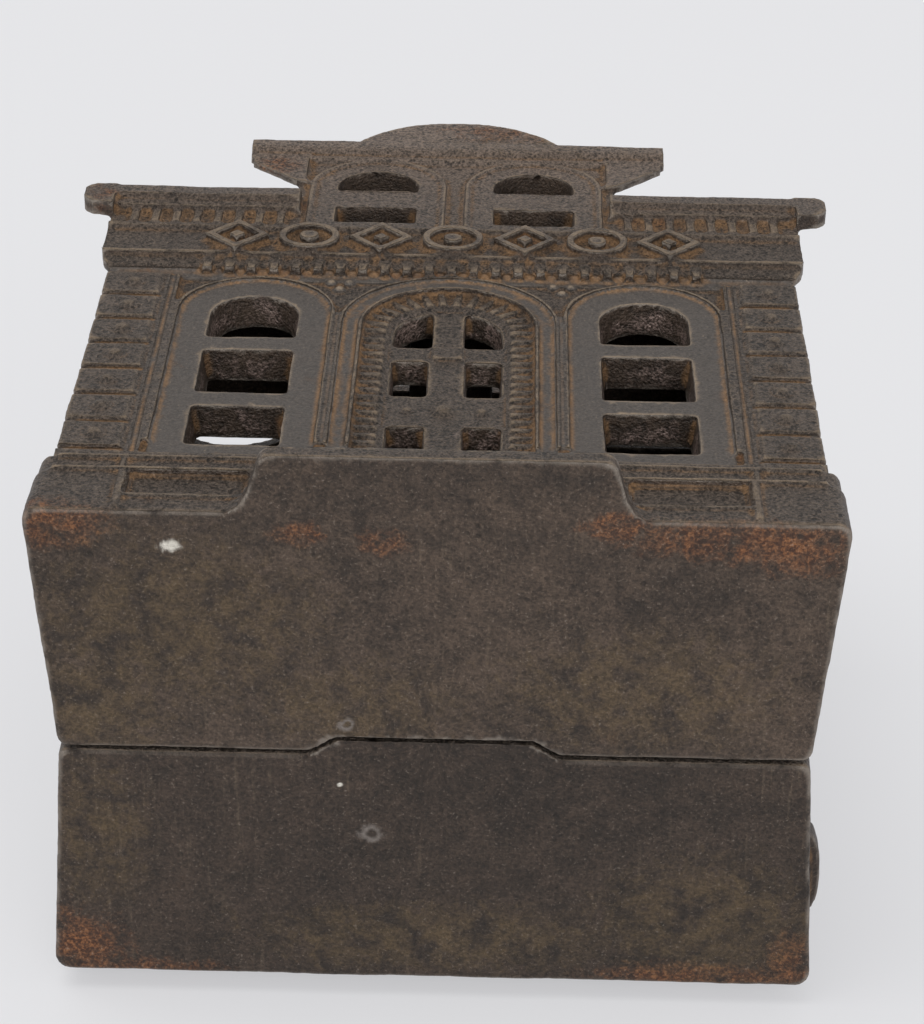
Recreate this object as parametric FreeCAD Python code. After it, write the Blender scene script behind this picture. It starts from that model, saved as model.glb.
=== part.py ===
"""Cast iron still bank in the form of a two-storey bank building, about 1880-1900.

Two hollow sand castings meet at a joint half way back, and one machine screw
through the rear casting holds them together. X runs across the front, +Y runs
from the front to the back, +Z is up. While the parts are drawn, y = 0 is the
plane of the front wall; placing_shift() then moves everything so that the
origin is the middle of the bounding box on the underside. Millimetres.
"""
import FreeCAD
import Part
import math
import os

# ---- plan ------------------------------------------------------------------
JOINT_Y = 24.55            # plane where the two castings meet
JOINT_GAP = 0.1            # daylight left between the rough joint faces
REAR_WALL_Y = 49.3         # outer plane of the rear wall
BASE_PROUD = 2.7           # base stands this far in front of the wall plane
BASE_HALF_WIDTH = 40.1     # at the front edge; each casting narrows to the joint
BASE_JOINT_HALF_WIDTH = 37.6
REAR_NARROWER = 0.9        # rear casting is this much narrower each side
BAND_STEP = 0.2            # moulding band is set in from the base each side
BAND_PROUD = 1.9
WALL_STEP = 2.2            # side walls are set in from the base each side
SIDE_WALL = 2.8
FACE_WALL = 3.8            # front and rear walls are the thickest
PARAPET_BACK = 0.3         # the false front above the roofs is thinner: its back plane
PARAPET_END_PROUD = 1.2    # and the free ends of its cornices are thinner still

# ---- heights ---------------------------------------------------------------
FLOOR_THICKNESS = 3.0
BASE_TOP = 9.3
BAND_TOP = 13.35
BEAD_RADIUS = 0.45
BEAD_DROP = 0.85           # centre of each bead below the top of its moulding
PANEL_HEIGHTS = (3.4, 8.0)
PANEL_OUTER_X = 30.1
BASE_EDGE_RADIUS = 0.6     # underside edge, rounded by wear
QUOIN_BOTTOM = 16.4
QUOIN_COUNT = 7
QUOIN_PITCH = 6.17
QUOIN_TOP = QUOIN_BOTTOM + QUOIN_COUNT * QUOIN_PITCH
DENTIL_TOP = 63.0
FRIEZE_TOP = 70.4
CORNICE_BOTTOM = 74.6
CORNICE_TOP = 78.9
MAIN_ROOF_UNDER = 68.0
MAIN_ROOF_TOP = 70.0
ROOM_ROOF_UNDER = 88.0
ROOM_ROOF_TOP = 90.0
ROOM_CORNICE_TOP = 95.3
CREST_RISE = 8.2

# ---- front steps -----------------------------------------------------------
STEP_COUNT = 4
STEP_RISE = 2.2
STEPS_PROJECTION = 6.2
STEPS_BACK_HALF_WIDTH = 18.3
STEPS_FRONT_HALF_WIDTH = 17.0
STEPS_SPLAY = 1.7          # how far the ends spread where they meet the base

# ---- quoins, frames, windows, door -----------------------------------------
QUOIN_INNER_X = 32.1
QUOIN_OUTER_X = 38.7
QUOIN_PROUD = 1.0
QUOIN_RETURN = 6.0         # how far the blocks run back along the side walls
QUOIN_JOINT = 0.7          # height of the sunk line between two blocks
LINE_WIDTH = 0.55          # raised outline of frames and fillets
LINE_PROUD = 0.7
FRAME_PROUD = 0.3

WINDOW_X = 21.3
WINDOW_HALF_WIDTH = 5.1
WINDOW_SILL = 18.85
WINDOW_SPRING = 49.6
WINDOW_BARS = ((27.4, 30.8), (40.9, 44.3))
WINDOW_FRAME = 8.67
WINDOW_DRAFT = 1.0         # each side of an opening leans in this much through the wall
DOOR_DRAFT = 0.45
ARCH_DRAFT = 0.2           # and the crown of an arch comes down by this much

DOOR_FRAME = 12.1
DOOR_FRAME_SPRING = 48.2
DOOR_LINE = 9.3
DOOR_LINE_SPRING = 47.6
DOOR_LEAF = 6.6
DOOR_OPENING = 6.0
DOOR_SPRING = 47.1
DOOR_MULLION = 1.9
DOOR_LIGHTS = ((19.2, 25.2), (32.6, 40.6))
DOOR_FAN_BOTTOM = 44.4
DOOR_RECESS = 0.6
BAND_RECESS = 0.35

# ---- entablature and upper room ---------------------------------------------
FRIEZE_HALF_WIDTH = 39.9
FRIEZE_PROUD = 1.4
CORNICE_HALF_WIDTH = 43.2
CORNICE_PROUD = 3.4
ORNAMENT_COUNT = 7
ORNAMENT_PITCH = 8.2
ORNAMENT_PROUD = 2.5
ORNAMENT_STROKE = 1.1
RING_RADIUS = 3.6
LOZENGE_HALF_WIDTH = 3.8
LOZENGE_HALF_HEIGHT = 4.2
ROOM_HALF_WIDTH = 18.7
ROOM_PROUD = 1.7
ROOM_CORNICE_HALF_WIDTH = 25.0
ROOM_CORNICE_PROUD = 2.9
ROOM_CORNICE_DEPTH = 5.2
ROOM_FLARE = (83.4, 88.4)  # the console under the ends of the room cornice
ROOM_WINDOW_X = 9.15
ROOM_WINDOW_HALF_WIDTH = 4.7
ROOM_WINDOW_SILL = 72.3
ROOM_WINDOW_BAR = (76.5, 81.6)
ROOM_WINDOW_SPRING = 82.7
ROOM_WINDOW_FRAME = 8.1
CREST_HALF_WIDTH = 13.1

# ---- joint, coin slot and screw ----------------------------------------------
TONGUE_ROOT = 12.5         # half widths and height of the locating tongue
TONGUE_TIP = 9.7
TONGUE_HEIGHT = 1.7
TONGUE_PLAY = 0.15
SLOT_LENGTH = 27.0
SLOT_WIDTH = 3.0
SCREW_Z = 66.0
POST_RADIUS = 5.0
SCREW_RADIUS = 2.08        # a No. 8 machine screw
TAPPED_RADIUS = 2.15
SCREW_HOLE_RADIUS = 2.35
SCREW_ENGAGEMENT = 8.0
TAPPED_DEPTH = 12.0
HEAD_RADIUS = 4.0
HEAD_HEIGHT = 2.6
HEAD_SLOT_WIDTH = 1.1
HEAD_SLOT_DEPTH = 1.2
PAD_RADIUS = 5.6
PAD_PROUD = 0.8


class Casting:
    """One half of the bank: where its outer wall is, and which way it faces."""

    def __init__(self, wall_y, outward, joint_y, narrower):
        self.wall_y = wall_y
        self.outward = outward
        self.joint_y = joint_y
        self.narrower = narrower

    def y(self, proud):
        """The y of a surface standing proud of the wall; negative is inside."""
        return self.wall_y + self.outward * proud


FRONT = Casting(0.0, -1, JOINT_Y - JOINT_GAP / 2, 0.0)
REAR = Casting(REAR_WALL_Y, 1, JOINT_Y + JOINT_GAP / 2, REAR_NARROWER)


# ---- shared shapes -----------------------------------------------------------
def block(x0, x1, y0, y1, z0, z1):
    """A box between two opposite corners given in any order."""
    corner = FreeCAD.Vector(min(x0, x1), min(y0, y1), min(z0, z1))
    return Part.makeBox(abs(x1 - x0), abs(y1 - y0), abs(z1 - z0), corner)


def prism_y(points, y0, y1):
    """A closed outline of (x, z) points pushed from y0 to y1."""
    corners = [FreeCAD.Vector(x, y0, z) for x, z in points]
    face = Part.Face(Part.makePolygon(corners + corners[:1]))
    return face.extrude(FreeCAD.Vector(0, y1 - y0, 0))


def prism_z(points, z0, z1):
    """A closed outline of (x, y) points pushed from z0 to z1."""
    corners = [FreeCAD.Vector(x, y, z0) for x, y in points]
    face = Part.Face(Part.makePolygon(corners + corners[:1]))
    return face.extrude(FreeCAD.Vector(0, 0, z1 - z0))


def prism_x(points, x0, x1):
    """A closed outline of (y, z) points pushed from x0 to x1."""
    corners = [FreeCAD.Vector(x0, y, z) for y, z in points]
    face = Part.Face(Part.makePolygon(corners + corners[:1]))
    return face.extrude(FreeCAD.Vector(x1 - x0, 0, 0))


def rod_y(x, z, radius, y0, y1):
    """A round bar along Y."""
    start = FreeCAD.Vector(x, min(y0, y1), z)
    return Part.makeCylinder(radius, abs(y1 - y0), start, FreeCAD.Vector(0, 1, 0))


def dome_y(x, z, radius, height, y, outward):
    """A low round boss: a slice of a ball whose rim lies in the plane y."""
    ball_radius = (radius ** 2 + height ** 2) / (2 * height)
    centre = FreeCAD.Vector(x, y + outward * (height - ball_radius), z)
    ball = Part.makeSphere(ball_radius, centre)
    keep = rod_y(x, z, radius, y - outward * 0.4, y + outward * (height + 0.2))
    return ball.common(keep)


def arch_wire(x, half_width, bottom, spring, y):
    """The outline of a round-headed opening, drawn in the plane y."""
    left = x - half_width
    right = x + half_width
    low_left = FreeCAD.Vector(left, y, bottom)
    low_right = FreeCAD.Vector(right, y, bottom)
    high_right = FreeCAD.Vector(right, y, spring)
    high_left = FreeCAD.Vector(left, y, spring)
    crown = FreeCAD.Vector(x, y, spring + half_width)
    return Part.Wire([
        Part.makeLine(low_left, low_right),
        Part.makeLine(low_right, high_right),
        Part.Arc(high_right, crown, high_left).toShape(),
        Part.makeLine(high_left, low_left),
    ])


def arch_slab(x, half_width, bottom, spring, y0, y1):
    """A round-headed plate between the planes y0 and y1."""
    face = Part.Face(arch_wire(x, half_width, bottom, spring, y0))
    return face.extrude(FreeCAD.Vector(0, y1 - y0, 0))


def arch_line(casting, x, half_width, bottom, spring):
    """A thin raised line that runs up, round and down an arch."""
    top = casting.y(LINE_PROUD)
    root = casting.y(-0.4)
    outer = arch_slab(x, half_width, bottom, spring, root, top)
    inner = arch_slab(x, half_width - LINE_WIDTH, bottom - 1, spring, root, top)
    return outer.cut(inner)


def arch_cutter(x, half_width, bottom, spring, draft):
    """A round-headed opening that narrows towards the inside of the casting."""
    outer = arch_wire(x, half_width, bottom, spring, -BASE_PROUD)
    inner_spring = spring + draft - ARCH_DRAFT
    inner = arch_wire(x, half_width - draft, bottom, inner_spring, FACE_WALL + 0.5)
    return Part.makeLoft([outer, inner], True, True)


def pane_cutter(x0, x1, z0, z1, draft):
    """A square-headed opening that narrows towards the inside."""
    outer = [(x0, z0), (x1, z0), (x1, z1), (x0, z1)]
    inner = [(x0 + draft, z0), (x1 - draft, z0), (x1 - draft, z1), (x0 + draft, z1)]
    wires = []
    for y, corners in ((-BASE_PROUD, outer), (FACE_WALL + 0.5, inner)):
        points = [FreeCAD.Vector(px, y, pz) for px, pz in corners]
        wires.append(Part.makePolygon(points + points[:1]))
    return Part.makeLoft(wires, True, True)


def tapered_block(casting, proud, set_in, z0, z1, corner_radius, seam_radius):
    """A storey of one casting: widest at its face, narrowest at the joint."""
    face_half = BASE_HALF_WIDTH - set_in - casting.narrower
    joint_half = BASE_JOINT_HALF_WIDTH - set_in
    face_y = casting.y(proud)
    shape = prism_z([
        (-face_half, face_y), (face_half, face_y),
        (joint_half, casting.joint_y), (-joint_half, casting.joint_y),
    ], z0, z1)
    for radius, edge_y in ((corner_radius, face_y), (seam_radius, casting.joint_y)):
        if radius > 0:
            shape = shape.makeFillet(radius, upright_edges(shape, edge_y))
    return shape


def upright_edges(shape, y):
    """The vertical edges of a shape that stand in the plane y."""
    found = []
    for edge in shape.Edges:
        box = edge.BoundBox
        is_upright = box.ZLength > 1 and box.XLength < 0.01 and box.YLength < 0.01
        if is_upright and abs(box.YMin - y) < 0.01:
            found.append(edge)
    return found


def level_edges(shape, z, casting):
    """The horizontal edges at height z, apart from the one along the joint."""
    found = []
    for edge in shape.Edges:
        box = edge.BoundBox
        is_level = box.ZLength < 0.01 and abs(box.ZMin - z) < 0.01
        on_joint = abs(box.YMin - casting.joint_y) < 0.01 and box.YLength < 0.01
        if is_level and not on_joint:
            found.append(edge)
    return found


# ---- the shell of each casting -------------------------------------------------
def outer_storeys(casting):
    """Base, moulding band, walls and upper room as solid blocks."""
    base = tapered_block(casting, BASE_PROUD, 0, 0, BASE_TOP, 1.8, 1.3)
    base = base.makeFillet(BASE_EDGE_RADIUS, level_edges(base, 0, casting))
    base = base.makeFillet(1.5, level_edges(base, BASE_TOP, casting))
    band = tapered_block(casting, BAND_PROUD, BAND_STEP, BASE_TOP - 1, BAND_TOP, 1.4, 0.9)
    band = band.makeFillet(1.1, level_edges(band, BAND_TOP, casting))
    walls = tapered_block(casting, 0, WALL_STEP, BAND_TOP - 1, MAIN_ROOF_TOP, 0, 0.5)
    room_set_in = BASE_HALF_WIDTH - ROOM_HALF_WIDTH + 0.4
    room = tapered_block(casting, 0, room_set_in, MAIN_ROOF_TOP - 1, ROOM_ROOF_TOP, 0, 0.4)
    return base.multiFuse([band, walls, room])


def cavity(casting):
    """The hollow for the coins: the hall below and the upper room above it."""
    past_joint = casting.joint_y - casting.outward * 0.5
    inner_y = casting.y(-FACE_WALL)
    hall_half = BASE_JOINT_HALF_WIDTH - WALL_STEP - SIDE_WALL
    room_half = ROOM_HALF_WIDTH - 2.2 - SIDE_WALL + 0.4
    hall = block(-hall_half, hall_half, inner_y, past_joint, FLOOR_THICKNESS, MAIN_ROOF_UNDER)
    room = block(-room_half, room_half, inner_y, past_joint, MAIN_ROOF_UNDER - 1, ROOM_ROOF_UNDER)
    return hall.fuse(room)


def quoins(casting, with_bosses):
    """Rusticated corner blocks, each a little proud of the walls."""
    pieces = []
    centre_x = (QUOIN_INNER_X + QUOIN_OUTER_X) / 2 - 0.2
    outer_x = QUOIN_OUTER_X - casting.narrower
    for side in (-1, 1):
        core = block(side * QUOIN_INNER_X, side * (outer_x - 0.5),
                     casting.y(QUOIN_PROUD - 0.5), casting.y(-QUOIN_RETURN),
                     BAND_TOP - 0.5, QUOIN_TOP)
        foot = block(side * QUOIN_INNER_X, side * outer_x, casting.y(QUOIN_PROUD),
                     casting.y(-QUOIN_RETURN), BAND_TOP - 0.5, QUOIN_BOTTOM - QUOIN_JOINT / 2)
        pieces += [core, foot]
        for row in range(QUOIN_COUNT):
            z0 = QUOIN_BOTTOM + row * QUOIN_PITCH
            stone = block(side * QUOIN_INNER_X, side * outer_x,
                          casting.y(QUOIN_PROUD), casting.y(-QUOIN_RETURN),
                          z0 + QUOIN_JOINT / 2, z0 + QUOIN_PITCH - QUOIN_JOINT / 2)
            stone = stone.makeChamfer(0.22, outward_edges(stone, casting))
            pieces.append(stone)
            if with_bosses:
                pieces.append(dome_y(side * centre_x, z0 + QUOIN_PITCH / 2, 1.15, 0.5,
                                     casting.y(QUOIN_PROUD), casting.outward))
    return pieces


def outward_edges(shape, casting):
    """The edges that bound the face of a block that looks outward."""
    box = shape.BoundBox
    face_y = box.YMin if casting.outward < 0 else box.YMax
    edges = []
    for edge in shape.Edges:
        edge_box = edge.BoundBox
        if abs(edge_box.YMin - face_y) < 0.01 and abs(edge_box.YMax - face_y) < 0.01:
            edges.append(edge)
    return edges


def upright_lines(casting):
    """Two thin fillets between each quoin and the wall beside it."""
    pieces = []
    for side in (-1, 1):
        for x in (30.5, 31.6):
            pieces.append(block(side * (x - LINE_WIDTH / 2), side * (x + LINE_WIDTH / 2),
                                casting.y(LINE_PROUD), casting.y(-0.4), BAND_TOP - 1, QUOIN_TOP))
    return pieces


def entablature(casting):
    """Frieze and main cornice, one moulding run across the whole front."""
    back = casting.y(-PARAPET_BACK)
    y = casting.y
    profile = [
        (back, 59.0), (y(0.2), 59.0), (y(0.3), 60.8), (y(0.9), 61.5), (y(1.2), DENTIL_TOP),
        (y(1.8), DENTIL_TOP + 0.3), (y(1.8), DENTIL_TOP + 0.9), (y(FRIEZE_PROUD), 64.4),
        (y(FRIEZE_PROUD), FRIEZE_TOP - 0.6), (y(2.0), FRIEZE_TOP), (y(2.0), FRIEZE_TOP + 0.7),
        (y(1.6), FRIEZE_TOP + 1.0), (y(1.7), CORNICE_BOTTOM - 0.6), (y(2.6), CORNICE_BOTTOM),
        (y(2.8), CORNICE_BOTTOM + 1.1), (y(CORNICE_PROUD), CORNICE_BOTTOM + 1.6),
        (y(CORNICE_PROUD), CORNICE_TOP - 0.5), (y(CORNICE_PROUD - 0.5), CORNICE_TOP),
        (back, CORNICE_TOP),
    ]
    half = FRIEZE_HALF_WIDTH
    run = prism_x(profile, -half, half)
    bay_half = ROOM_HALF_WIDTH - 0.8
    bay = block(-bay_half, bay_half, y(ROOM_PROUD), y(CORNICE_PROUD + 1),
                FRIEZE_TOP + 1.2, CORNICE_TOP + 1)
    run = run.cut(bay)
    flare_points = [(half - 2.2, 59.0), (half - 1.4, 60.4), (half - 0.4, 62.2), (half, 64.4)]
    pieces = []
    for side in (-1, 1):
        waste = [(side * x, z) for x, z in flare_points]
        waste += [(side * (half + 1), 64.4), (side * (half + 1), 58.0), (side * (half - 2.2), 58.0)]
        run = run.cut(prism_y(waste, casting.y(5), casting.y(-5)))
        pieces.append(cornice_end(casting, side))
    return [run] + pieces


def cornice_end(casting, side):
    """The end of the main cornice: coved below, rounded above."""
    inner = FRIEZE_HALF_WIDTH - 0.5
    tip = CORNICE_HALF_WIDTH
    low = CORNICE_BOTTOM - 1.5
    outline = [(inner, low), (tip - 1.1, low + 0.5), (tip - 0.3, low + 1.3),
               (tip, low + 2.0), (tip, CORNICE_TOP - 1.3), (tip - 0.4, CORNICE_TOP - 0.5),
               (tip - 1.3, CORNICE_TOP), (inner, CORNICE_TOP)]
    points = [(side * x, z) for x, z in outline]
    return prism_y(points, casting.y(CORNICE_PROUD), casting.y(PARAPET_END_PROUD))


def dentils(casting, half_run, pitch, width, z0, z1, proud):
    """A row of small upright blocks."""
    count = int(half_run / pitch)
    pieces = []
    for index in range(-count, count + 1):
        x = index * pitch
        pieces.append(block(x - width / 2, x + width / 2, casting.y(proud), casting.y(0), z0, z1))
    return pieces


def frieze_ornament(casting):
    """Alternate raised lozenges and rings along the frieze, each with a centre."""
    pieces = []
    middle = FRIEZE_TOP - LOZENGE_HALF_HEIGHT + 1.0
    root = casting.y(0.5)
    top = casting.y(ORNAMENT_PROUD)
    for index in range(ORNAMENT_COUNT):
        x = (index - (ORNAMENT_COUNT - 1) / 2) * ORNAMENT_PITCH
        if index % 2:
            ring = rod_y(x, middle, RING_RADIUS, root, top)
            ring = ring.cut(rod_y(x, middle, RING_RADIUS - ORNAMENT_STROKE, root, top))
            pieces += [ring, rod_y(x, middle, 1.2, root, top)]
        else:
            ring = lozenge(x, middle, 1.0, root, top).cut(lozenge(x, middle, 0.62, root, top))
            pieces += [ring, lozenge(x, middle, 0.28, root, top)]
    return pieces


def lozenge(x, z, scale, y0, y1):
    """A diamond-shaped plate, at a given share of the full ornament's size."""
    wide = LOZENGE_HALF_WIDTH * scale
    high = LOZENGE_HALF_HEIGHT * scale
    return prism_y([(x - wide, z), (x, z - high), (x + wide, z), (x, z + high)], y0, y1)


def upper_room_face(casting):
    """The face of the upper room, its flared consoles, cornice and crest."""
    low, high = ROOM_FLARE
    top = ROOM_CORNICE_TOP
    tip = ROOM_CORNICE_HALF_WIDTH
    y = casting.y
    wall = block(-ROOM_HALF_WIDTH, ROOM_HALF_WIDTH, y(ROOM_PROUD), y(-PARAPET_BACK),
                 FRIEZE_TOP + 0.3, top - 0.6)
    radius = (CREST_HALF_WIDTH ** 2 + CREST_RISE ** 2) / (2 * CREST_RISE)
    crest = rod_y(0, top + CREST_RISE - radius, radius, y(2.1), y(-PARAPET_BACK))
    above = block(-20, 20, y(5), y(-5), top - 0.8, top + 20)
    moulding = top - ROOM_CORNICE_DEPTH
    profile = [
        (y(0), moulding), (y(ROOM_PROUD + 0.2), moulding), (y(ROOM_PROUD + 0.6), moulding + 0.8),
        (y(ROOM_PROUD + 0.5), moulding + 1.4), (y(ROOM_CORNICE_PROUD - 0.2), moulding + 2.0),
        (y(ROOM_CORNICE_PROUD), moulding + 2.7), (y(ROOM_CORNICE_PROUD), top - 0.6),
        (y(ROOM_CORNICE_PROUD - 0.6), top), (y(0), top),
    ]
    middle = prism_x(profile, -ROOM_HALF_WIDTH - 1, ROOM_HALF_WIDTH + 1)
    pieces = [wall, crest.common(above), middle]
    for side in (-1, 1):
        console = [(ROOM_HALF_WIDTH - 1, low - 0.6), (ROOM_HALF_WIDTH + 0.6, low),
                   (tip - 1.4, high - 0.6), (tip - 0.4, high + 0.4), (tip - 0.4, top - 1),
                   (ROOM_HALF_WIDTH - 1, top - 1)]
        console = [(side * x, z) for x, z in console]
        pieces.append(prism_y(console, y(ROOM_CORNICE_PROUD - 0.5), y(PARAPET_END_PROUD)))
        arm = prism_x([(py, pz) for py, pz in profile[1:-1]] + [(y(PARAPET_END_PROUD), top),
                      (y(PARAPET_END_PROUD), moulding)], side * ROOM_HALF_WIDTH, side * tip)
        pieces.append(arm)
    return pieces


def window_frames(casting):
    """Flat frames with raised outlines round the arched side windows."""
    pieces = []
    for side in (-1, 1):
        x = side * WINDOW_X
        pieces.append(arch_slab(x, WINDOW_FRAME - 0.3, QUOIN_BOTTOM, WINDOW_SPRING + 0.9,
                                casting.y(-0.4), casting.y(FRAME_PROUD)))
        pieces.append(arch_line(casting, x, WINDOW_FRAME + 0.2, WINDOW_SILL, WINDOW_SPRING + 0.9))
    return pieces


def room_window_frames(casting):
    """Flat frames round the two windows of the upper room."""
    pieces = []
    for side in (-1, 1):
        x = side * ROOM_WINDOW_X
        outer = arch_slab(x, ROOM_WINDOW_FRAME, FRIEZE_TOP + 0.8, ROOM_WINDOW_SPRING,
                          casting.y(0), casting.y(ROOM_PROUD + 0.5))
        inner = arch_slab(x, ROOM_WINDOW_FRAME - 0.6, FRIEZE_TOP - 0.5, ROOM_WINDOW_SPRING,
                          casting.y(ROOM_PROUD + 0.2), casting.y(4))
        pieces.append(outer.cut(inner))
    return pieces


# ---- front casting ---------------------------------------------------------------
def front_steps():
    """Four shallow steps with splayed ends, one flat underside with the base."""
    pieces = []
    tread = STEPS_PROJECTION / STEP_COUNT
    root_y = FRONT.y(BASE_PROUD)
    for step in range(STEP_COUNT):
        y = root_y - STEPS_PROJECTION + step * tread
        in_from_end = step * 0.5
        front_half = STEPS_FRONT_HALF_WIDTH - in_from_end
        back_half = STEPS_BACK_HALF_WIDTH - in_from_end
        splay = min(STEPS_SPLAY, (root_y - y) * 0.8)
        right = [(front_half, y), (back_half, root_y - splay),
                 (back_half + splay * 0.4, root_y - splay * 0.35), (back_half + splay, root_y),
                 (back_half + splay, root_y + 1.5)]
        outline = right + [(-x, py) for x, py in reversed(right)]
        riser = prism_z(outline, 0, (step + 1) * STEP_RISE)
        corner_radius = min(1.8, splay)
        riser = riser.makeFillet(corner_radius, upright_edges(riser, y))
        if step == 0:
            riser = riser.makeFillet(0.3, lowest_front_edges(riser, root_y - 0.5))
        pieces.append(riser)
    return pieces


def lowest_front_edges(shape, behind_y):
    """The edges of a shape's underside that lie in front of a plane."""
    found = []
    for edge in shape.Edges:
        box = edge.BoundBox
        if box.ZMax < 0.01 and box.YMax < behind_y:
            found.append(edge)
    return found


def base_lines():
    """The upright fillets carried down over the moulding band and the base."""
    pieces = []
    for side in (-1, 1):
        base_x = side * (PANEL_OUTER_X + 0.7)
        band_x = side * (PANEL_OUTER_X + 1.1)
        half = side * LINE_WIDTH / 2
        pieces.append(block(base_x - half, base_x + half, FRONT.y(BASE_PROUD + 0.3), 0,
                            0.8, BASE_TOP - BEAD_DROP))
        pieces.append(block(band_x - half, band_x + half, FRONT.y(BAND_PROUD + 0.3), 0,
                            BASE_TOP - 1, BAND_TOP - BEAD_DROP))
    return pieces


def beads():
    """Worn round beads along the tops of the base and of the moulding band."""
    pieces = []
    for proud, top, half in ((BASE_PROUD, BASE_TOP, BASE_HALF_WIDTH - 2.1),
                             (BAND_PROUD, BAND_TOP, BASE_HALF_WIDTH - BAND_STEP - 2.1)):
        start = FreeCAD.Vector(-half, FRONT.y(proud - 0.1), top - BEAD_DROP)
        bead = Part.makeCylinder(BEAD_RADIUS, 2 * half, start, FreeCAD.Vector(1, 0, 0))
        pieces.append(bead)
    return pieces


def panel_rims():
    """The low raised rim under each sunk panel of the base."""
    pieces = []
    for side in (-1, 1):
        pieces.append(block(side * (STEPS_BACK_HALF_WIDTH + 0.5), side * (PANEL_OUTER_X + 0.5),
                            FRONT.y(BASE_PROUD + 0.2), 0, PANEL_HEIGHTS[0] - 0.55,
                            PANEL_HEIGHTS[0]))
    return pieces


def ground_course():
    """A plain course between the moulding band and the windows."""
    return block(-QUOIN_INNER_X, QUOIN_INNER_X, FRONT.y(0.8), 1.0,
                 BAND_TOP - 0.5, QUOIN_BOTTOM - QUOIN_JOINT / 2)


def door_surround():
    """Raised frame of the doorway, its outline, and the band round the leaf."""
    y = FRONT.y
    frame = arch_slab(0, DOOR_FRAME - 0.3, QUOIN_BOTTOM, DOOR_FRAME_SPRING,
                      y(-0.4), y(FRAME_PROUD))
    outline = arch_line(FRONT, 0, DOOR_FRAME, WINDOW_SILL, DOOR_FRAME_SPRING)
    inner_line = arch_line(FRONT, 0, DOOR_LINE + LINE_WIDTH, WINDOW_SILL, DOOR_LINE_SPRING)
    return [frame, outline, inner_line]


def door_recesses():
    """Sunk surfaces: the band round the door leaf, then the leaf itself."""
    band = arch_slab(0, DOOR_LINE, WINDOW_SILL - 0.4, DOOR_LINE_SPRING, -5, BAND_RECESS)
    leaf = arch_slab(0, DOOR_LEAF, WINDOW_SILL, DOOR_SPRING, -5, DOOR_RECESS)
    return [band, leaf]


def door_voussoirs():
    """Short ribs beside the leaf, turning to radial ribs round its arch."""
    pieces = []
    inner = DOOR_LEAF + 0.25
    length = DOOR_LINE - inner + 0.1
    top = 0.0
    root = DOOR_RECESS + 0.4
    for side in (-1, 1):
        z = WINDOW_SILL + 1.4
        while z < DOOR_SPRING - 0.6:
            pieces.append(block(side * inner, side * (inner + length), top, root, z, z + 0.75))
            z += 1.75
    rib_count = 15
    for index in range(rib_count + 1):
        angle = 180 * index / rib_count
        rib = block(inner, inner + length, top, root, -0.35, 0.35)
        rib.rotate(FreeCAD.Vector(0, 0, 0), FreeCAD.Vector(0, -1, 0), angle)
        rib.translate(FreeCAD.Vector(0, 0, DOOR_SPRING + 0.3))
        pieces.append(rib)
    return pieces


def door_bosses():
    """The boss on the lower rail and the small knobs either side of it."""
    rail_z = (DOOR_LIGHTS[0][1] + DOOR_LIGHTS[1][0]) / 2
    pieces = [dome_y(0, rail_z, 1.4, 0.6, DOOR_RECESS, -1)]
    for side in (-1, 1):
        pieces.append(dome_y(side * 3.9, rail_z - 0.1, 0.85, 0.4, DOOR_RECESS, -1))
    panel = block(-DOOR_MULLION + 0.3, DOOR_MULLION - 0.3, 0.25, DOOR_RECESS + 0.5, 41.0, 44.0)
    return pieces + [panel]


def door_openings():
    """Lights of the door: two pairs of square panes and two quarter rounds."""
    cutters = []
    for side in (-1, 1):
        x0, x1 = sorted((side * DOOR_MULLION, side * DOOR_OPENING))
        for z0, z1 in DOOR_LIGHTS:
            cutters.append(pane_cutter(x0, x1, z0, z1, DOOR_DRAFT))
        fan = arch_cutter(0, DOOR_OPENING, DOOR_FAN_BOTTOM, DOOR_SPRING, DOOR_DRAFT)
        cutters.append(fan.common(block(x0, x1, -5, 10, 40, 60)))
    return cutters


def window_openings():
    """Each side window: two square openings and an arched one above them."""
    (low_bar_0, low_bar_1), (high_bar_0, high_bar_1) = WINDOW_BARS
    cutters = []
    for side in (-1, 1):
        x = side * WINDOW_X
        x0 = x - WINDOW_HALF_WIDTH
        x1 = x + WINDOW_HALF_WIDTH
        cutters.append(pane_cutter(x0, x1, WINDOW_SILL, low_bar_0, WINDOW_DRAFT))
        cutters.append(pane_cutter(x0, x1, low_bar_1, high_bar_0, WINDOW_DRAFT))
        cutters.append(arch_cutter(x, WINDOW_HALF_WIDTH, high_bar_1, WINDOW_SPRING,
                                   WINDOW_DRAFT))
    return cutters


def room_window_openings():
    """Each upper window: a low opening and an arched one above one bar."""
    cutters = []
    for side in (-1, 1):
        x = side * ROOM_WINDOW_X
        half = ROOM_WINDOW_HALF_WIDTH
        cutters.append(pane_cutter(x - half, x + half, ROOM_WINDOW_SILL, ROOM_WINDOW_BAR[0],
                                   WINDOW_DRAFT))
        cutters.append(arch_cutter(x, half, ROOM_WINDOW_BAR[1], ROOM_WINDOW_SPRING, WINDOW_DRAFT))
    return cutters


def base_panels():
    """Shallow panels sunk in the front of the base, running in to the steps."""
    cutters = []
    for side in (-1, 1):
        cutters.append(block(side * (STEPS_BACK_HALF_WIDTH + 0.3), side * PANEL_OUTER_X,
                             FRONT.y(BASE_PROUD - 0.6), FRONT.y(BASE_PROUD + 0.25),
                             *PANEL_HEIGHTS))
    return cutters


def spandrel_dots():
    """Three small knobs above each place where two arched frames meet."""
    pieces = []
    for side in (-1, 1):
        for x, z in ((0, 57.2), (-1.0, 58.9), (1.0, 58.9)):
            pieces.append(dome_y(side * 12.4 + x, z, 0.75, 0.55, 0.0, -1))
    return pieces


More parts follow.
